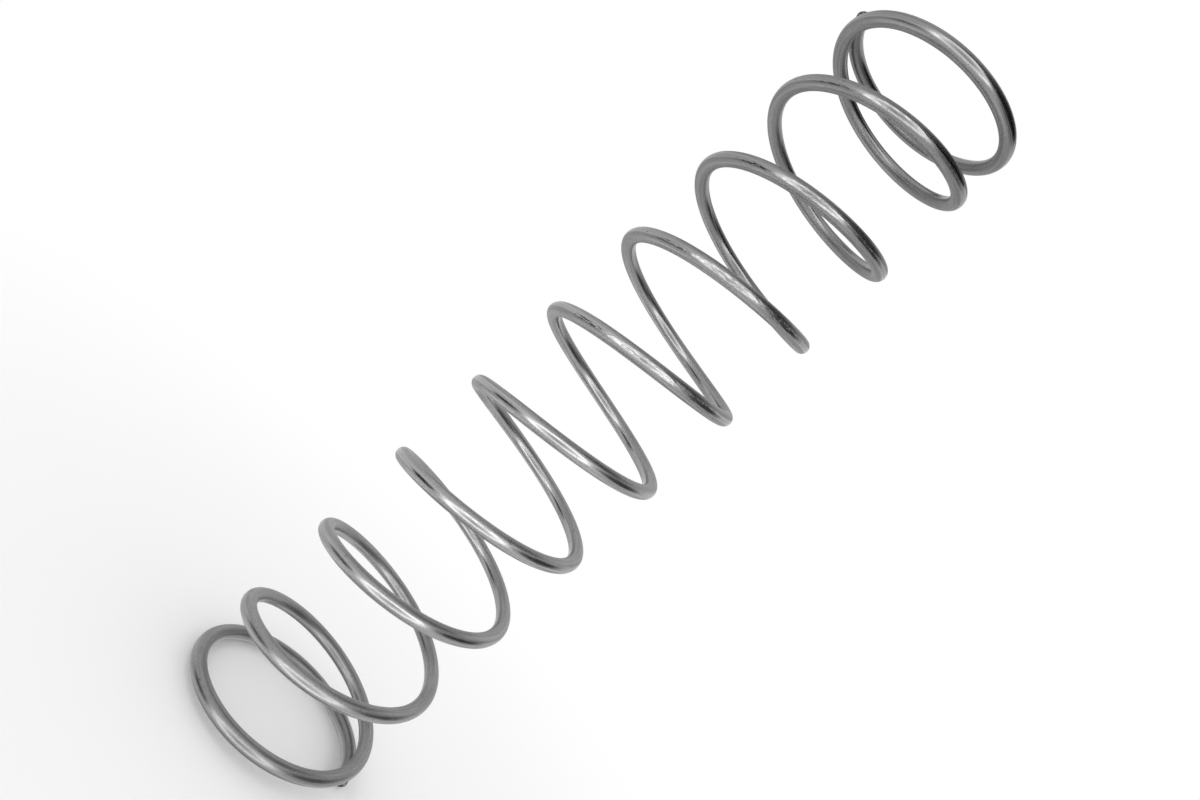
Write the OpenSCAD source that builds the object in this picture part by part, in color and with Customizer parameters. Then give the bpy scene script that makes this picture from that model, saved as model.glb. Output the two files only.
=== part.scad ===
// Helical compression spring in round wire.
// Right-hand coil, both ends closed and left unground, both tips cut square.
// It stands on its lower end, with its axis on +Z and its foot at Z = 0.
// All lengths are in millimetres and all angles in degrees.

/* [Wire] */

// Diameter of the round wire
wire_d = 4.2; // [3:0.1:5.5]
// Bevel round the edge of each cut tip
tip_bevel = 0.3; // [0.1:0.05:0.8]
// Length by which the lower tip is cut short
lower_trim = 10; // [0:0.5:15]
// Length by which the upper tip is cut short
upper_trim = 3; // [0:0.5:10]

/* [Coil] */

// Coil diameter, measured to the centre of the wire
mean_d = 54; // [40:1:70]
// Length of the unloaded spring over both ends
free_length = 254; // [210:2:300]
// Number of turns from tip to tip, before they are cut short
total_turns = 10.6; // [8.5:0.1:12]
// Angle of the lower tip round the axis, before it is cut short
tip_angle = -27; // [-180:9:180]

/* [Closed ends] */

// Gap between each uncut tip and the turn that closes on it
tip_gap = 0.4; // [0.3:0.1:1]
// Number of turns over which the pitch opens from flat to full
ramp_turns = 1.2; // [0.8:0.1:1.4]

/* [Fineness] */

// Flats round the section of the wire
wire_sides = 12; // [8:4:12]
// Steps along one turn of the coil
turn_steps = 40; // [24:4:40]

/* [Hidden] */

steel_grey = [0.5, 0.5, 0.51];
coil_r = mean_d / 2;
wire_r = wire_d / 2;
steps = round(total_turns * turn_steps);

// One turn in from a tip, the wire has climbed its own diameter and the gap.
closed_rise = wire_d + tip_gap;
// Height that the centre of the wire climbs from the lower tip to the upper one.
climb = free_length - wire_d;
// With a linear ramp, the climb is full_turns * pitch + 2 * ramp_term * sqrt(pitch).
full_turns = total_turns - 2 - ramp_turns;
ramp_term = sqrt(2 * ramp_turns * closed_rise);
pitch_root = (sqrt(ramp_term * ramp_term + full_turns * climb) - ramp_term) / full_turns;
// Climb of one full turn between the closed ends.
pitch = pitch_root * pitch_root;
// Part of a turn that lies flat from each tip.
flat_turns = 1 - ramp_term / pitch_root;

// Turns of the ramp that are behind a point t turns from the nearer tip.
function ramp_part(t) = min(max(t - flat_turns, 0), ramp_turns);

// Climb from a tip to a point t turns away, up to the middle of the spring.
function rise(t) = pitch * (ramp_part(t) * ramp_part(t) / (2 * ramp_turns) + max(t - flat_turns - ramp_turns, 0));

// Climb in one turn at a point t turns from the nearer tip.
function slope(t) = pitch * ramp_part(t) / ramp_turns;

// Height of the wire's centre, t turns from the uncut lower tip.
function height(t) =
    t < total_turns / 2 ? wire_r + rise(t) : free_length - wire_r - rise(total_turns - t);

// Points round the wire, t turns from the uncut lower tip, in the plane square to the wire.
function ring(t, section_r) =
    let (
        turn_angle = tip_angle + 360 * t,
        lead_angle = atan2(slope(min(t, total_turns - t)), PI * mean_d),
        outward = [cos(turn_angle), sin(turn_angle), 0],
        upward = [sin(lead_angle) * sin(turn_angle), -sin(lead_angle) * cos(turn_angle), cos(lead_angle)],
        centre = coil_r * outward + [0, 0, height(t)]
    )
    [
        for (side = [0 : wire_sides - 1])
            let (a = 360 * side / wire_sides)
            centre + section_r * (cos(a) * outward + sin(a) * upward)
    ];

// The two cut tips, in turns from the uncut lower tip.
lower_tip = lower_trim / (PI * mean_d);
upper_tip = total_turns - upper_trim / (PI * mean_d);
// Turns between one station and the next.
step_turns = (upper_tip - lower_tip) / steps;
// The bevel takes this share of a turn along the wire.
bevel_turns = tip_bevel / (PI * mean_d);

// Each station is its distance from the uncut lower tip in turns, and the wire's radius there.
stations = concat(
    [[lower_tip, wire_r - tip_bevel], [lower_tip + bevel_turns, wire_r]],
    [for (i = [1 : steps - 1]) [lower_tip + i * step_turns, wire_r]],
    [[upper_tip - bevel_turns, wire_r], [upper_tip, wire_r - tip_bevel]]
);

// One wire, coiled: rings of points along the helix, joined by strips of faces.
module coil_spring() {
    last = len(stations) - 1;
    points = [for (s = stations) each ring(s[0], s[1])];
    sides = [
        for (i = [0 : last - 1], j = [0 : wire_sides - 1])
            let (
                k = (j + 1) % wire_sides,
                here = i * wire_sides,
                next = here + wire_sides
            )
            [here + j, next + j, next + k, here + k]
    ];
    lower_cut = [for (j = [0 : wire_sides - 1]) j];
    upper_cut = [for (j = [wire_sides - 1 : -1 : 0]) last * wire_sides + j];
    color(steel_grey)
        polyhedron(points = points, faces = concat([lower_cut, upper_cut], sides), convexity = 12);
}

coil_spring();
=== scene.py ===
import logging
import math
from dataclasses import dataclass, field
from enum import Enum
from typing import Any, Optional, Union

import bmesh
import bpy
from mathutils import Matrix, Vector


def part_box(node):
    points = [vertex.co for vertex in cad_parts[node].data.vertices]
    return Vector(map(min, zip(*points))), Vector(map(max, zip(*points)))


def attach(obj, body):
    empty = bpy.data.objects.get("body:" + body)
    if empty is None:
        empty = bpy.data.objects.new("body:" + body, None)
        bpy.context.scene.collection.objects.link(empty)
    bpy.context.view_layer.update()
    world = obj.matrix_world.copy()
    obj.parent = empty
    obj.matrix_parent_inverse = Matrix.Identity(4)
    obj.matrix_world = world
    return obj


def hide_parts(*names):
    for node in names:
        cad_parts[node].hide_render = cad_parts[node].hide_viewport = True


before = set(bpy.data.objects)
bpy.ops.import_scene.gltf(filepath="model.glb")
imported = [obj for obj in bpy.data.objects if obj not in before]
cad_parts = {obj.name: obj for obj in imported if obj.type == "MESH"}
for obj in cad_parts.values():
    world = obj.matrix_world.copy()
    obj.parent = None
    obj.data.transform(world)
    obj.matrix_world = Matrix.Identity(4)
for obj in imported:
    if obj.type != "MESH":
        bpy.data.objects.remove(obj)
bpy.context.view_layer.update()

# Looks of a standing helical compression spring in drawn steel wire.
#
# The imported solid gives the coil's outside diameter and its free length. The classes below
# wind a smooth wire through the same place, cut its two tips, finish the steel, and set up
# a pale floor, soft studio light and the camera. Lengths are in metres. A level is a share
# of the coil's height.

LOG = logging.getLogger("spring")
MM = 0.001
CAD_NODE = "coil_spring"
WIRE_PLACE = "straight_wire"
CUT_MATERIAL = 1
WHITE = (1.0, 1.0, 1.0, 1.0)

Number = Union[int, float]
Span = tuple[float, float]
Colour = tuple[float, float, float, float]
Rim = list[bmesh.types.BMEdge]


class Tip(Enum):
    """The two cut ends of the wire."""

    LOWER = "lower"
    UPPER = "upper"


class Sock:
    """One output socket of a shader node, with arithmetic that adds Math nodes."""

    def __init__(self, maker: "NodeMaker", socket: bpy.types.NodeSocket) -> None:
        """Keeps the socket and the maker that adds nodes beside it."""
        self.maker = maker
        self.socket = socket

    def _math(self, operation: str, *terms: Union["Sock", Number]) -> "Sock":
        """Adds one Math node.

        Args:
            operation: The Math node's operation.
            terms: Its inputs, in order, as sockets or numbers.

        Returns:
            The node's value.
        """
        return self.maker.add("ShaderNodeMath", {"operation": operation}, dict(enumerate(terms)))

    def __add__(self, other: Union["Sock", Number]) -> "Sock":
        """Gives self + other."""
        return self._math("ADD", self, other)

    __radd__ = __add__

    def __sub__(self, other: Union["Sock", Number]) -> "Sock":
        """Gives self - other."""
        return self._math("SUBTRACT", self, other)

    def __rsub__(self, other: Union["Sock", Number]) -> "Sock":
        """Gives other - self."""
        return self._math("SUBTRACT", other, self)

    def __mul__(self, other: Union["Sock", Number]) -> "Sock":
        """Gives self * other."""
        return self._math("MULTIPLY", self, other)

    __rmul__ = __mul__

    def size(self) -> "Sock":
        """Gives the absolute value."""
        return self._math("ABSOLUTE", self)

    def arctangent(self) -> "Sock":
        """Gives the angle in radians whose tangent this is."""
        return self._math("ARCTANGENT", self)

    def axis(self, name: str) -> "Sock":
        """Gives the X, Y or Z of a vector."""
        return self.maker.add("ShaderNodeSeparateXYZ", None, {0: self}, name)

    def eased(self, edges: Span, ends: Span = (0.0, 1.0)) -> "Sock":
        """Goes smoothly from one value to another.

        Args:
            edges: Where this value's change starts and where it is complete.
            ends: The results before the first edge and past the second one.

        Returns:
            The eased value.
        """
        settings = {"interpolation_type": "SMOOTHSTEP"}
        low, high = edges
        before, after = ends
        inputs = {"Value": self, "From Min": low, "From Max": high, "To Min": before, "To Max": after}
        return self.maker.add("ShaderNodeMapRange", settings, inputs)


class NodeMaker:
    """Adds nodes to the tree of one material or world."""

    def __init__(self, owner: Union[bpy.types.Material, bpy.types.World]) -> None:
        """Empties the owner's tree and keeps it.

        Args:
            owner: The material or world that the nodes belong to.
        """
        owner.use_nodes = True
        self.tree = owner.node_tree
        self.tree.nodes.clear()

    def node(
        self,
        kind: str,
        settings: Optional[dict[str, Any]] = None,
        inputs: Optional[dict[Union[str, int], Any]] = None,
    ) -> bpy.types.Node:
        """Adds a node, sets it up and links its inputs.

        Args:
            kind: The node's type name.
            settings: The node's own properties, which are set first.
            inputs: Values or Sock links, by the input's name or number.

        Returns:
            The node.
        """
        node = self.tree.nodes.new(kind)
        for name, value in (settings or {}).items():
            setattr(node, name, value)
        for name, value in (inputs or {}).items():
            if isinstance(value, Sock):
                self.tree.links.new(value.socket, node.inputs[name])
            else:
                node.inputs[name].default_value = value
        return node

    def add(
        self,
        kind: str,
        settings: Optional[dict[str, Any]] = None,
        inputs: Optional[dict[Union[str, int], Any]] = None,
        output: Union[str, int] = 0,
    ) -> Sock:
        """Adds a node as node() does, and gives its output by name or number."""
        return Sock(self, self.node(kind, settings, inputs).outputs[output])

    def mix_colour(self, factor: Sock, low: Any, high: Any) -> Sock:
        """Blends two colours.

        Args:
            factor: 0 for low and 1 for high.
            low: A colour, or a link that carries one.
            high: A colour, or a link that carries one.

        Returns:
            The blended colour.
        """
        settings = {"data_type": "RGBA", "clamp_factor": True}
        return self.add("ShaderNodeMix", settings, {0: factor, 6: low, 7: high}, output=2)

    def distance(self, place: Sock, centre: Vector) -> Sock:
        """Gives how far a place is from a centre."""
        return self.add("ShaderNodeVectorMath", {"operation": "DISTANCE"}, {0: place, 1: centre}, "Value")

    def wire_place(self) -> Sock:
        """Gives the place in the straightened wire: out of the coil, up it, and along the wire."""
        settings = {"attribute_type": "GEOMETRY", "attribute_name": WIRE_PLACE}
        return self.add("ShaderNodeAttribute", settings, output="Vector")

    def surface(self, shader: Sock) -> None:
        """Links the finished shader to the material's output."""
        self.node("ShaderNodeOutputMaterial", None, {"Surface": shader})

    def glow(self, colour: Sock) -> None:
        """Makes the material shine with a colour, which may be a grey value."""
        self.surface(self.add("ShaderNodeEmission", None, {"Color": colour}))


@dataclass(frozen=True)
class Marks:
    """Noise in the straightened wire, its cells counted for each metre across and along the wire."""

    across: float
    along: float
    detail: float = 1.0
    roughness: float = 0.5

    def lay(self, make: NodeMaker, place: Sock) -> Sock:
        """Adds the noise.

        Args:
            make: The material's node maker.
            place: The place in the straightened wire.

        Returns:
            The noise, near 0.5 on average.
        """
        cells = {0: place, 1: (self.across, self.across, self.along)}
        scaled = make.add("ShaderNodeVectorMath", {"operation": "MULTIPLY"}, cells)
        inputs = {"Vector": scaled, "Scale": 1.0, "Detail": self.detail, "Roughness": self.roughness}
        return make.add("ShaderNodeTexNoise", {"noise_dimensions": "3D"}, inputs)


@dataclass(frozen=True)
class Spot:
    """What is known at a spot on the wire: where it lies, and the marks that it bears.

    The height is counted from the wire's centre in wire radii. Outside is 1 on the outside
    of the coil and 0 on its inside.
    """

    height: Sock
    outside: Sock
    level: Sock
    broad_lines: Sock
    fine_lines: Sock
    dabs: Sock
    grain: Sock
    patches: Sock
    wander: Sock
    rough: Sock
    pits: Sock


@dataclass(frozen=True)
class WireMarks:
    """The marks that drawing and coiling leave on the wire."""

    broad_lines: Marks = Marks(1500, 22, 2.0, 0.55)
    fine_lines: Marks = Marks(5200, 90, 3.0, 0.6)
    dabs: Marks = Marks(2300, 520)
    grain: Marks = Marks(3000, 3000, 3.0, 0.65)
    patches: Marks = Marks(260, 90, 2.0)
    wander: Marks = Marks(0, 16)
    rough: Marks = Marks(40, 9)
    rough_edges: Span = (0.40, 0.56)
    pits: Marks = Marks(1500, 1100, 1.0, 0.4)
    pit_edges: Span = (0.74, 0.80)
    side_edge: float = 0.3

    def spot(self, make: NodeMaker, wire_r: float, coil_height: float) -> Spot:
        """Lays all the marks.

        Args:
            make: The material's node maker.
            wire_r: Radius of the wire, whose side_edge share parts the outside from the inside.
            coil_height: Height of the coil.

        Returns:
            Where a spot lies, and its marks.
        """
        place = make.wire_place()
        edge = self.side_edge * wire_r
        return Spot(
            height=place.axis("Y") * (1 / wire_r),
            outside=place.axis("X").eased((-edge, edge)),
            level=make.add("ShaderNodeTexCoord", output="Object").axis("Z") * (1 / coil_height),
            broad_lines=self.broad_lines.lay(make, place),
            fine_lines=self.fine_lines.lay(make, place),
            dabs=self.dabs.lay(make, place),
            grain=self.grain.lay(make, place),
            patches=self.patches.lay(make, place),
            wander=self.wander.lay(make, place),
            rough=self.rough.lay(make, place).eased(self.rough_edges),
            pits=self.pits.lay(make, place).eased(self.pit_edges),
        )


@dataclass(frozen=True)
class Band:
    """Burnished band on the coil's equator, in wire radii up and down from its middle.

    Two bright tracks lie above and below the middle, with a half-burnished strip between.
    The band drifts a little round the wire from the coil's foot to its top, as the wire
    turned in the coiler, and it fades towards both ends.
    """

    edges: Span = (0.20, 0.48)
    share: float = 0.60
    track: float = 0.25
    track_edges: Span = (0.04, 0.17)
    fray: float = 0.3
    upper_wander: Span = (0.38, 0.56)
    lower_wander: Span = (0.44, 0.62)
    inside_share: float = 0.62
    drift: Span = (-0.13, 0.20)
    drift_levels: Span = (0.50, 0.85)
    foot_share: float = 0.35
    foot_levels: Span = (0.02, 0.36)
    top_share: float = 0.85
    top_levels: Span = (0.84, 0.98)

    def on_track(self, off_band: Sock, side: float) -> Sock:
        """Gives 1 on the track of one side, which is 1 or -1, and 0 away from it."""
        return (off_band - side * self.track).size().eased(self.track_edges, (1.0, 0.0))

    def burnish(self, spot: Spot) -> Sock:
        """Masks the band, except for its pits.

        Args:
            spot: Where the spot lies, and its marks.

        Returns:
            How burnished the wire is, from 0 to 1.
        """
        drift = spot.level.eased(self.drift_levels, self.drift) * (spot.outside * 2 - 1)
        off_band = spot.height - drift + (spot.broad_lines - 0.5) * self.fray
        band = off_band.size().eased(self.edges, (1.0, 0.0))
        upper = self.on_track(off_band, 1) * spot.wander.eased(self.upper_wander)
        lower = self.on_track(off_band, -1) * spot.wander.eased(self.lower_wander, (1.0, 0.0))
        outer = band * self.share + (upper + lower) * (1 - self.share)
        whole = outer * spot.outside + band * (1 - spot.outside) * self.inside_share
        near_foot = spot.level.eased(self.foot_levels, (self.foot_share, 1.0))
        near_top = spot.level.eased(self.top_levels, (1.0, self.top_share))
        return whole * near_foot * near_top * (1 - spot.pits)


@dataclass(frozen=True)
class PaintedShade:
    """Painted light and shade in the steel's colour: painted lighter low on the coil, and painted shade at
    its top, on its inside and where it rests.
    """

    foot_shade: float = 1.12
    top_shade: float = 0.80
    top_levels: Span = (0.45, 0.85)
    rest_shade: float = 0.86
    rest_levels: Span = (0.0, 0.16)
    inside_shade: float = 0.95

    def shade(self, spot: Spot) -> Sock:
        """Works out the painted light and shade.

        Args:
            spot: Where the spot lies, and its marks.

        Returns:
            A factor on the colour.
        """
        # Painted light and shade: lighter towards the foot, darker towards the top, darker where the coil
        # rests and on the coil's inside.
        upward = spot.level.eased(self.top_levels, (self.foot_shade, self.top_shade))
        at_rest = spot.level.eased(self.rest_levels, (self.rest_shade, 1.0))
        return (spot.outside * (1 - self.inside_shade) + self.inside_shade) * (upward * at_rest)


@dataclass(frozen=True)
class Relief:
    """Heights of the marks in the wire's surface, counted in line heights."""

    line_height: float = 0.03 * MM
    strength: float = 0.6
    broad_lines: float = 0.7
    fine_lines: float = 0.5
    dabs: float = 0.25
    outside_dabs: float = 0.3
    dents: float = 10.0
    low_dents: float = 0.25
    dent_levels: Span = (0.28, 0.50)
    top_loss: float = 0.6
    top_levels: Span = (0.7, 0.9)
    grain: float = 0.06
    burnished_grain: float = 0.04
    pits: float = 0.5

    def bump(self, make: NodeMaker, spot: Spot, burnish: Sock) -> Sock:
        """Raises the marks. The dents lie in the band, deepest halfway up the coil.

        Args:
            make: The material's node maker.
            spot: Where the spot lies, and its marks.
            burnish: How burnished the wire is.

        Returns:
            The bumped normal.
        """
        upward = spot.level.eased(self.dent_levels, (self.low_dents, 1.0))
        depth = upward - spot.level.eased(self.top_levels) * self.top_loss
        dents = spot.rough * burnish * spot.outside * depth
        dab_height = dents * self.dents + spot.outside * self.outside_dabs + self.dabs
        lines = spot.fine_lines * self.fine_lines + spot.broad_lines * self.broad_lines
        grain_height = burnish * (self.burnished_grain - self.grain) + self.grain
        height = (spot.dabs - 0.5) * dab_height + lines + spot.grain * grain_height - spot.pits * self.pits
        inputs = {"Strength": self.strength, "Distance": self.line_height, "Height": height}
        return make.add("ShaderNodeBump", None, inputs)


@dataclass(frozen=True)
class DrawnSteel:
    """Dull drawn wire, burnished along the outside and inside of the coil by the coiler."""

    wire_r: float
    coil_height: float
    name: str = "drawn_steel_wire"
    dark: Colour = (0.180, 0.180, 0.182, 1.0)
    light: Colour = (0.310, 0.310, 0.311, 1.0)
    burnished: Colour = (0.390, 0.390, 0.391, 1.0)
    pit: Colour = (0.080, 0.079, 0.078, 1.0)
    edge_tint: Colour = (0.85, 0.85, 0.86, 1.0)
    broad_share: float = 0.45
    fine_share: float = 0.30
    patch_share: float = 0.25
    grain_share: float = 0.6
    tone_edges: Span = (0.30, 0.70)
    burnished_tone: float = 0.55
    burnished_lines: float = 0.6
    dull_roughness: float = 0.38
    burnished_roughness: float = 0.105
    worn_roughness: float = 0.14
    worn_grain: float = 0.4
    pit_roughness: float = 0.2
    marks: WireMarks = WireMarks()
    band: Band = Band()
    # Painted light and shade over the coil's colour.
    painted_shade: PaintedShade = PaintedShade()
    relief: Relief = Relief()

    def material(self) -> bpy.types.Material:
        """Builds the material.

        Returns:
            The drawn steel.
        """
        steel = bpy.data.materials.new(self.name)
        make = NodeMaker(steel)
        spot = self.marks.spot(make, self.wire_r, self.coil_height)
        burnish = self.band.burnish(spot)
        inputs = {
            "Base Color": self.colour(make, spot, burnish),
            "Metallic": 1.0,
            "Roughness": self.roughness(spot, burnish),
            "Specular Tint": self.edge_tint,
            "Normal": self.relief.bump(make, spot, burnish),
        }
        make.surface(make.add("ShaderNodeBsdfPrincipled", {"distribution": "MULTI_GGX"}, inputs))
        return steel

    def colour(self, make: NodeMaker, spot: Spot, burnish: Sock) -> Sock:
        """Mixes the colour: streaky dull steel, brighter in the band, dark in the pits.

        Args:
            make: The material's node maker.
            spot: Where the spot lies, and its marks.
            burnish: How burnished the wire is.

        Returns:
            The colour, with painted light and shade over the coil.
        """
        broad, fine = spot.broad_lines * self.broad_share, spot.fine_lines * self.fine_share
        streaks = broad + fine + spot.patches * self.patch_share
        drawn = (streaks + (spot.grain - 0.5) * self.grain_share).eased(self.tone_edges)
        dull = make.mix_colour(drawn, self.dark, self.light)
        polish = burnish * (spot.fine_lines * self.burnished_lines + self.burnished_tone)
        tone = make.mix_colour(polish, dull, self.burnished)
        pitted = make.mix_colour(spot.pits, tone, self.pit)
        # The colour is scaled by painted light and shade: lighter low on the coil, darker at its top, where
        # it rests and on its inside.
        inputs = {0: pitted, "Scale": self.painted_shade.shade(spot)}
        return make.add("ShaderNodeVectorMath", {"operation": "SCALE"}, inputs)

    def roughness(self, spot: Spot, burnish: Sock) -> Sock:
        """Works out the roughness: smooth in the band, uneven all over, rougher in the pits.

        Args:
            spot: Where the spot lies, and its marks.
            burnish: How burnished the wire is.

        Returns:
            The roughness.
        """
        smooth = burnish * (self.burnished_roughness - self.dull_roughness) + self.dull_roughness
        wear = spot.grain * self.worn_grain + spot.dabs * (1 - self.worn_grain)
        return smooth + (wear - 0.5) * self.worn_roughness + spot.pits * self.pit_roughness


@dataclass(frozen=True)
class ShearedSteel:
    """The bare face that a cut-off blade leaves on the wire: part burnished, part torn."""

    name: str = "sheared_steel"
    torn: Colour = (0.04, 0.04, 0.041, 1.0)
    burnished: Colour = (0.12, 0.12, 0.122, 1.0)
    crystals: Marks = Marks(4200, 4200, 4.0, 0.7)
    smears: Marks = Marks(900, 900, 2.0)
    smear_edges: Span = (0.42, 0.58)
    smear_share: float = 0.7
    torn_roughness: float = 0.55
    burnished_roughness: float = 0.25
    torn_height: float = 1.2
    burnished_height: float = 0.2
    depth: float = 0.05 * MM
    strength: float = 0.7

    def material(self) -> bpy.types.Material:
        """Builds the material.

        Returns:
            The sheared steel.
        """
        steel = bpy.data.materials.new(self.name)
        make = NodeMaker(steel)
        place = make.wire_place()
        crystals = self.crystals.lay(make, place)
        smeared = self.smears.lay(make, place).eased(self.smear_edges)
        share = smeared * self.smear_share + crystals * (1 - self.smear_share)
        colour = make.mix_colour(share, self.torn, self.burnished)
        roughness = smeared * (self.burnished_roughness - self.torn_roughness) + self.torn_roughness
        height = crystals * (smeared * (self.burnished_height - self.torn_height) + self.torn_height)
        inputs = {"Strength": self.strength, "Distance": self.depth, "Height": height}
        bump = make.add("ShaderNodeBump", None, inputs)
        inputs = {"Base Color": colour, "Metallic": 1.0, "Roughness": roughness, "Normal": bump}
        make.surface(make.add("ShaderNodeBsdfPrincipled", {"distribution": "MULTI_GGX"}, inputs))
        return steel


@dataclass(frozen=True)
class Helix:
    """Centre line of the wire: flat closed ends, a ramp, and full pitch between."""

    low: Vector
    high: Vector
    wire_d: float = 4.2 * MM
    tip_gap: float = 0.4 * MM
    ramp_turns: float = 1.2
    total_turns: float = 10.6
    tip_angle: float = math.radians(-27)
    lower_trim: float = 10.0 * MM
    upper_trim: float = 3.0 * MM

    @property
    def wire_r(self) -> float:
        """Radius of the wire."""
        return self.wire_d / 2

    @property
    def coil_r(self) -> float:
        """Radius of the coil, to the centre of the wire."""
        return (self.high.x - self.low.x) / 2 - self.wire_r

    @property
    def pitch_root(self) -> float:
        """Works out the square root of the pitch.

        Returns:
            The root r that solves climb = full_turns * r**2 + 2 * ramp_term * r.
        """
        climb = self.high.z - self.low.z - self.wire_d
        full_turns = self.total_turns - 2 - self.ramp_turns
        return (math.sqrt(self.ramp_term**2 + full_turns * climb) - self.ramp_term) / full_turns

    @property
    def ramp_term(self) -> float:
        """The ramp's share of the climb, for each root of pitch."""
        return math.sqrt(2 * self.ramp_turns * (self.wire_d + self.tip_gap))

    @property
    def flat_turns(self) -> float:
        """Part of a turn that lies flat from each tip."""
        return 1 - self.ramp_term / self.pitch_root

    def rise(self, turns: float) -> float:
        """Works out the climb from the nearer tip.

        Args:
            turns: Distance from that tip, in turns.

        Returns:
            The climb.
        """
        ramp = min(max(turns - self.flat_turns, 0.0), self.ramp_turns)
        full = max(turns - self.flat_turns - self.ramp_turns, 0.0)
        return self.pitch_root**2 * (ramp**2 / (2 * self.ramp_turns) + full)

    def slope(self, turns: float) -> float:
        """Works out how steeply the wire climbs.

        Args:
            turns: Distance from the lower tip, in turns.

        Returns:
            The climb for each turn at that point.
        """
        near = min(turns, self.total_turns - turns)
        ramp = min(max(near - self.flat_turns, 0.0), self.ramp_turns)
        return self.pitch_root**2 * ramp / self.ramp_turns

    def height(self, turns: float) -> float:
        """Works out the height of the wire's centre.

        Args:
            turns: Distance from the lower tip, in turns.

        Returns:
            The height.
        """
        if turns < self.total_turns / 2:
            return self.low.z + self.wire_r + self.rise(turns)
        return self.high.z - self.wire_r - self.rise(self.total_turns - turns)

    @property
    def cut_turns(self) -> tuple[float, float]:
        """Where the two tips are cut, in turns from the uncut lower tip."""
        one_turn = math.tau * self.coil_r
        return self.lower_trim / one_turn, self.total_turns - self.upper_trim / one_turn

    def section(self, turns: float) -> Matrix:
        """Frame of the wire's section at a point some turns from the lower tip.

        Args:
            turns: Distance from the lower tip, in turns.

        Returns:
            A matrix whose X points out of the coil, whose Y points up the coil, whose Z
            points along the wire, and whose origin is the wire's centre.
        """
        angle = self.tip_angle + math.tau * turns
        lead = math.atan2(self.slope(turns), math.tau * self.coil_r)
        outward = Vector((math.cos(angle), math.sin(angle), 0.0))
        along = Vector((-math.sin(angle) * math.cos(lead), math.cos(angle) * math.cos(lead), math.sin(lead)))
        upward = along.cross(outward)
        centre = outward * self.coil_r + Vector((0.0, 0.0, self.height(turns)))
        turned = Matrix((outward, upward, along)).transposed().to_4x4()
        return Matrix.Translation(centre) @ turned


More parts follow.
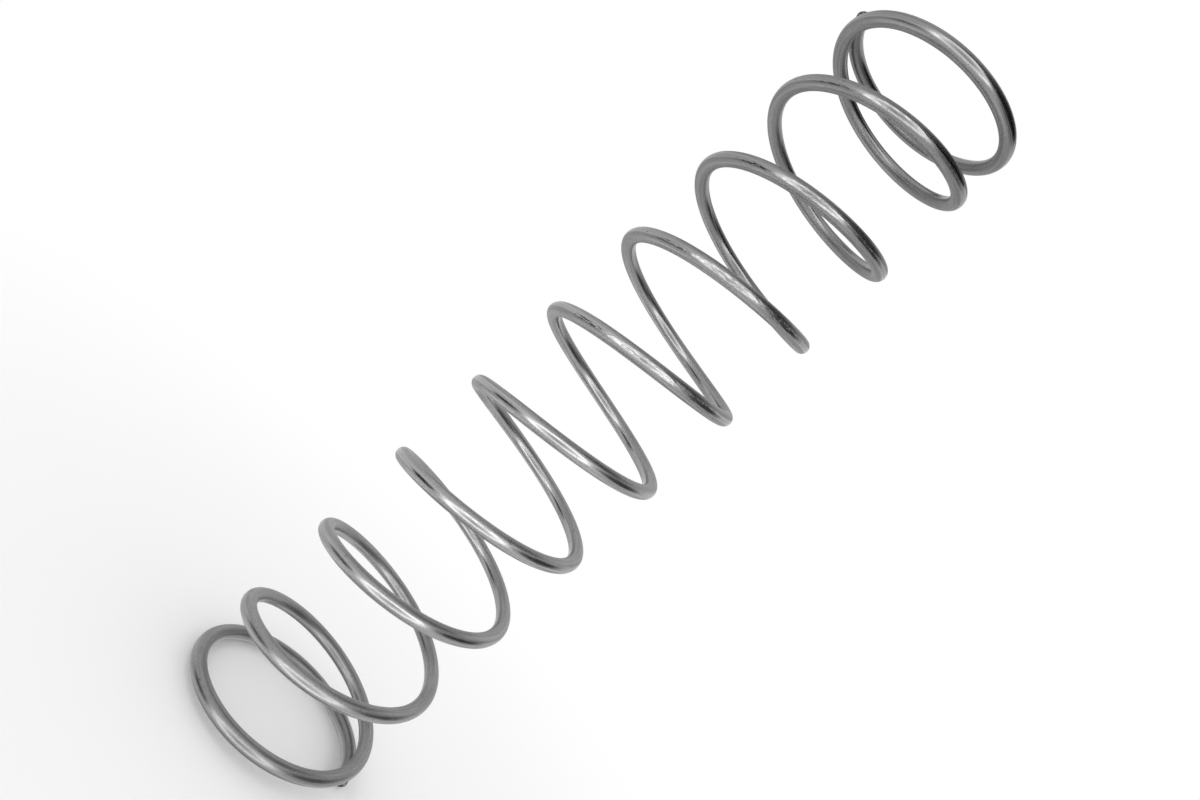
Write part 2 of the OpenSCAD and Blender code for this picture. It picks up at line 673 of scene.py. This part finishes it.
@dataclass
class SpringWire:
    """The whole spring: one wire wound along the helix and cut at both tips."""

    helix: Helix
    sides: int = 32
    steps_a_turn: int = 120
    rim_bevel: float = 0.22 * MM
    cut_slant: float = math.radians(6)
    burr_reach: float = 0.15 * MM
    burr_half_width: float = math.radians(55)
    burr_peak: float = 1.5
    burr_lift: float = 0.12 * MM
    rim_round: float = 0.176 * MM
    rim_steps: int = 3
    border: float = 0.5 * MM
    cut_finish: ShearedSteel = field(default_factory=ShearedSteel)

    @property
    def slant_depth(self) -> float:
        """How much further the slanted cut lets the wire reach on its inner side."""
        return math.tan(self.cut_slant) * self.helix.wire_d

    @property
    def ends(self) -> tuple[float, float]:
        """Finds where the plain wire stops short of its two cuts.

        Returns:
            Both places, in turns from the uncut lower tip.
        """
        first, last = self.helix.cut_turns
        short = self.slant_depth / (math.tau * self.helix.coil_r)
        return first + short, last - short

    def build(self) -> bpy.types.Object:
        """Winds, cuts and dresses the wire.

        Returns:
            The finished piece.
        """
        shape = bmesh.new()
        first, last = self.wind(shape)
        self.cut(shape, first, Tip.LOWER)
        self.cut(shape, last, Tip.UPPER)
        bmesh.ops.recalc_face_normals(shape, faces=shape.faces[:])
        for face in shape.faces:
            face.smooth = True
        piece = new_object("spring_wire", shape)
        piece.data.materials.append(DrawnSteel(self.helix.wire_r, self.helix.high.z).material())
        piece.data.materials.append(self.cut_finish.material())
        LOG.info("spring_wire: %d faces", len(piece.data.polygons))
        return piece

    def wind(self, shape: bmesh.types.BMesh) -> tuple[Rim, Rim]:
        """Rolls a grid into a straight tube and winds the tube onto the helix.

        Args:
            shape: The mesh to build in.

        Returns:
            The edges of the first open ring and of the last one.
        """
        helix = self.helix
        steps = round(helix.total_turns * self.steps_a_turn)
        start, end = self.ends
        sections = [helix.section(start + (end - start) * step / steps) for step in range(steps + 1)]
        lengths = [0.0]
        for here, there in zip(sections, sections[1:]):
            lengths.append(lengths[-1] + (there.translation - here.translation).length)

        place = shape.verts.layers.float_vector.new(WIRE_PLACE)
        bmesh.ops.create_grid(shape, x_segments=self.sides, y_segments=steps, size=1.0)
        seam = []
        for vert in shape.verts:
            side = round((vert.co.x + 1) / 2 * self.sides)
            step = round((vert.co.y + 1) / 2 * steps)
            angle = math.tau * (side % self.sides) / self.sides
            local = Vector((helix.wire_r * math.cos(angle), helix.wire_r * math.sin(angle), 0.0))
            vert.co = sections[step] @ local
            vert[place] = local + Vector((0.0, 0.0, lengths[step]))
            if side % self.sides == 0:
                seam.append(vert)
        bmesh.ops.remove_doubles(shape, verts=seam, dist=0.001 * MM)
        rims = [edge for edge in shape.edges if edge.is_boundary]
        first = [edge for edge in rims if edge.verts[0][place].z < lengths[1] / 2]
        last = [edge for edge in rims if edge.verts[0][place].z > lengths[1] / 2]
        return first, last

    def cut(self, shape: bmesh.types.BMesh, rim: Rim, tip: Tip) -> None:
        """Closes one tip with a slanted cut, a rounded rim and a burr on its outer side.

        Args:
            shape: The wire's mesh.
            rim: The edges of the open ring.
            tip: Which tip this is.
        """
        helix = self.helix
        turns, outwards = (self.ends[0], -1.0) if tip is Tip.LOWER else (self.ends[1], 1.0)
        section = helix.section(turns)
        back = section.inverted()
        place = shape.verts.layers.float_vector[WIRE_PLACE]
        rim_length = Vector((0.0, 0.0, rim[0].verts[0][place].z))
        grown = bmesh.ops.extrude_edge_only(shape, edges=rim)["geom"]
        verts = [g for g in grown if isinstance(g, bmesh.types.BMVert)]
        edges = [g for g in grown if isinstance(g, bmesh.types.BMEdge)]
        for vert in verts:
            local = back @ vert.co
            round_angle = abs(math.atan2(local.y, local.x))
            burr = max(1 - round_angle / self.burr_half_width, 0.0) ** self.burr_peak
            inner_share = (helix.wire_r - local.x) / helix.wire_d
            local.z += outwards * (self.rim_bevel + self.slant_depth * inner_share + self.burr_reach * burr)
            local.x += self.burr_lift * burr
            vert.co = section @ local
        face = bmesh.ops.contextual_create(shape, geom=edges)["faces"][0]
        face.material_index = CUT_MATERIAL
        rounded = bmesh.ops.bevel(
            shape,
            geom=edges,
            offset=self.rim_round,
            offset_type="OFFSET",
            segments=self.rim_steps,
            profile=0.5,
            affect="EDGES",
            clamp_overlap=True,
            material=-1,
        )["faces"]
        cut_faces = [f for f in shape.faces if f.material_index == CUT_MATERIAL]
        flat = max(cut_faces, key=lambda f: f.calc_area())
        border = bmesh.ops.inset_region(shape, faces=[flat], thickness=self.border, depth=0.0)["faces"]
        for vert in {v for f in [*rounded, *border, flat] for v in f.verts}:
            vert[place] = back @ vert.co + rim_length


def new_object(name: str, shape: bmesh.types.BMesh) -> bpy.types.Object:
    """Turns a finished bmesh into an object at the origin, and frees the bmesh.

    Args:
        name: The name of the object and of its mesh.
        shape: The finished bmesh.

    Returns:
        The object, linked to the scene.
    """
    mesh = bpy.data.meshes.new(name)
    shape.to_mesh(mesh)
    shape.free()
    made = bpy.data.objects.new(name, mesh)
    bpy.context.scene.collection.objects.link(made)
    return made


def only_reflected(panel: bpy.types.Object) -> None:
    """Marks a studio panel as stage that shows in reflections and nowhere else.

    Args:
        panel: The panel.
    """
    panel.visible_camera = False
    panel.visible_diffuse = False
    panel.visible_shadow = False
    panel.visible_transmission = False


@dataclass(frozen=True)
class Card:
    """A dark oval card with soft edges beside the piece, which only reflections see."""

    name: str
    turn: float
    rise: float
    width: float
    height: float
    grey: float
    level: float
    distance: float
    soft_from: float = 0.5
    soft_to: float = 0.98
    sides: int = 64

    def build(self, target: Vector) -> None:
        """Hangs the card so that it faces the target.

        Args:
            target: The point that the card faces.
        """
        turn, rise = math.radians(self.turn), math.radians(self.rise)
        level = Vector((math.sin(turn), -math.cos(turn), 0.0)) * math.cos(rise)
        away = level + Vector((0.0, 0.0, math.sin(rise)))
        centre = target + away * self.distance
        facing = (-away).to_track_quat("Z", "Y").to_matrix().to_4x4()
        size = Matrix.Diagonal((self.width / 2, self.height / 2, 1.0, 1.0))
        matrix = Matrix.Translation(centre) @ facing @ size
        shape = bmesh.new()
        bmesh.ops.create_circle(shape, cap_ends=True, radius=1.0, segments=self.sides, matrix=matrix)
        card = new_object(self.name, shape)
        card.data.materials.append(self.paint(centre))
        only_reflected(card)

    def paint(self, centre: Vector) -> bpy.types.Material:
        """Builds the card's paint, which fades to the white of the surroundings at its rim.

        Args:
            centre: The card's middle.

        Returns:
            The material.
        """
        paint = bpy.data.materials.new(self.name)
        make = NodeMaker(paint)
        place = make.add("ShaderNodeTexCoord", output="Object")
        shares = Vector((2 / self.width, 2 / self.width, 2 / self.height))
        scaled = make.add("ShaderNodeVectorMath", {"operation": "MULTIPLY"}, {0: place, 1: shares})
        reach = make.distance(scaled, centre * shares)
        make.glow(reach.eased((self.soft_from, self.soft_to), (self.grey, 1.0)))
        return paint


@dataclass(frozen=True)
class RingSoftbox:
    """A round softbox with a dim core, a bright ring near its edge and a faint glow outside.

    Its spans are angles from its middle as the target sees it, in degrees.
    """

    name: str
    centre: Vector
    distance: float
    core: float = 0.8
    body: float = 1.8
    ring: float = 3.6
    body_rise: Span = (8.0, 24.0)
    ring_rise: Span = (26.0, 34.0)
    ring_fall: Span = (36.0, 43.0)
    glow: float = 1.35
    glow_end: float = 66.0
    sides: int = 96

    def build(self, target: Vector) -> None:
        """Hangs the softbox so that it faces the target.

        Args:
            target: The point that the softbox faces.
        """
        facing = (target - self.centre).to_track_quat("Z", "Y").to_matrix().to_4x4()
        matrix = Matrix.Translation(self.centre) @ facing
        radius = self.distance * math.tan(math.radians(self.glow_end))
        shape = bmesh.new()
        bmesh.ops.create_circle(shape, cap_ends=True, radius=radius, segments=self.sides, matrix=matrix)
        box = new_object(self.name, shape)
        box.data.materials.append(self.paint())
        only_reflected(box)

    def paint(self) -> bpy.types.Material:
        """Builds the softbox's glow.

        Returns:
            The material, whose brightness follows the angle from the softbox's middle.
        """
        paint = bpy.data.materials.new(self.name)
        make = NodeMaker(paint)
        place = make.add("ShaderNodeTexCoord", output="Object")
        radius = make.distance(place, self.centre)
        angle = (radius * (1 / self.distance)).arctangent() * math.degrees(1)
        body = angle.eased(self.body_rise, (self.core, self.body))
        lit = body + angle.eased(self.ring_rise, (0.0, self.ring - self.body))
        within = angle.eased(self.ring_fall, (1.0, 0.0))
        beyond = angle.eased((self.ring_fall[0], self.glow_end), (self.glow, 1.0))
        make.glow(lit * within + beyond * (1 - within))
        return paint


@dataclass
class Studio:
    """Pale floor, white surroundings, a ring-shaped softbox and dark cards."""

    target: Vector
    floor_z: float
    coil_height: float
    floor_r: float = 3.0
    floor_sides: int = 96
    floor_grey: float = 0.96
    floor_roughness: float = 0.9
    shadow: Span = (0.084, 0.28)
    softbox_distance: float = 2.5
    softbox_shift: Span = (-0.08, -0.12)
    below: Span = (0.5, 1.0)
    below_glow: float = 2.1

    def build(self) -> None:
        """Builds the floor, the surroundings, the softbox and the cards."""
        self.floor()
        self.surroundings()
        sideways, upward = self.softbox_shift
        front = self.target + Vector((sideways, -self.softbox_distance, upward))
        RingSoftbox("front_softbox", front, self.softbox_distance).build(self.target)
        for card in self.cards():
            card.build(Vector((0.0, 0.0, self.coil_height * card.level)))
        LOG.info("studio: floor, surroundings, softbox and cards")

    def cards(self) -> list[Card]:
        """Lists the cards.

        Returns:
            A large card far off on the right, a small one near the coil's upper right, one over
            its top, one low on the left, and a faint one under its foot that puts painted shade into the
            reflections of the coil's underside.
        """
        right = Card(
            "right_card", turn=79, rise=12, width=1.7, height=1.35,
            grey=0.07, level=0.5, distance=0.9, soft_from=0.3,
        )
        high = Card(
            "high_card", turn=66, rise=34, width=0.26, height=0.225,
            grey=0.0, level=1.0, distance=0.13, soft_from=0.7,
        )
        top = Card(
            "top_card", turn=14, rise=46, width=0.22, height=0.06,
            grey=0.0, level=1.0, distance=0.13,
        )
        left = Card(
            "left_card", turn=-72, rise=-8, width=0.49, height=0.30,
            grey=0.05, level=0.15, distance=0.45,
        )
        # Painted shade: a faint grey sheet below the floor, seen only in reflections, darkens the underside
        # of the coil's foot as shade would.
        foot = Card(
            "foot_card", turn=0, rise=-80, width=0.12, height=0.12,
            grey=0.72, level=0.0, distance=0.05, soft_from=0.2,
        )
        return [right, high, top, left, foot]

    def floor(self) -> None:
        """Lays a floor that shows the shadow near the piece and turns plain white further out."""
        shape = bmesh.new()
        matrix = Matrix.Translation((0.0, 0.0, self.floor_z))
        bmesh.ops.create_circle(
            shape, cap_ends=True, radius=self.floor_r, segments=self.floor_sides, matrix=matrix
        )
        floor = new_object("floor", shape)
        paint = bpy.data.materials.new("floor_paint")
        make = NodeMaker(paint)
        grey = (self.floor_grey, self.floor_grey, self.floor_grey, 1.0)
        inputs = {"Base Color": grey, "Roughness": self.floor_roughness, "Specular IOR Level": 0.0}
        matt = make.add("ShaderNodeBsdfPrincipled", None, inputs)
        white = make.add("ShaderNodeEmission", None, {"Color": WHITE})
        place = make.add("ShaderNodeTexCoord", output="Object")
        radius = make.add("ShaderNodeVectorMath", {"operation": "LENGTH"}, {0: place}, "Value")
        seen = make.add("ShaderNodeLightPath", output="Is Camera Ray")
        far = radius.eased(self.shadow) * seen
        make.surface(make.add("ShaderNodeMixShader", None, {0: far, 1: matt, 2: white}))
        floor.data.materials.append(paint)
        floor.visible_glossy = False

    def surroundings(self) -> None:
        """Fills the surroundings with plain white, a little brighter from below."""
        world = bpy.data.worlds.new("white_surround")
        bpy.context.scene.world = world
        make = NodeMaker(world)
        down = make.add("ShaderNodeTexCoord", output="Generated").axis("Z") * -1
        glow = down.eased(self.below, (1.0, self.below_glow))
        background = make.add("ShaderNodeBackground", None, {"Color": glow})
        make.node("ShaderNodeOutputWorld", None, {"Surface": background})


@dataclass(frozen=True)
class Camera:
    """A wide lens close to the coil, rolled so that the coil lies across the frame's diagonal."""

    place: Vector = Vector((-7.8 * MM, -235.7 * MM, 130.1 * MM))
    turn: tuple[float, float, float] = (88.984, -46.678, -1.046)
    lens: float = 25.366
    sensor: float = 36.0

    def build(self) -> bpy.types.Object:
        """Makes the camera the scene's own.

        Returns:
            The camera.
        """
        data = bpy.data.cameras.new("camera")
        data.lens = self.lens
        data.sensor_fit = "HORIZONTAL"
        data.sensor_width = self.sensor
        data.clip_start = 0.01
        data.clip_end = 20.0
        camera = bpy.data.objects.new("camera", data)
        camera.location = self.place
        camera.rotation_euler = [math.radians(angle) for angle in self.turn]
        bpy.context.scene.collection.objects.link(camera)
        bpy.context.scene.camera = camera
        return camera


def main() -> None:
    """Builds the camera, the spring and the studio."""
    logging.basicConfig(level=logging.INFO)
    bpy.context.scene.view_settings.view_transform = "Standard"
    Camera().build()
    low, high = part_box(CAD_NODE)
    wire = SpringWire(Helix(Vector(low), Vector(high))).build()
    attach(wire, "root")
    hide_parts(CAD_NODE)
    middle = Vector((0.0, 0.0, (low[2] + high[2]) / 2))
    Studio(target=middle, floor_z=low[2], coil_height=high[2]).build()


if __name__ == "__main__":
    main()
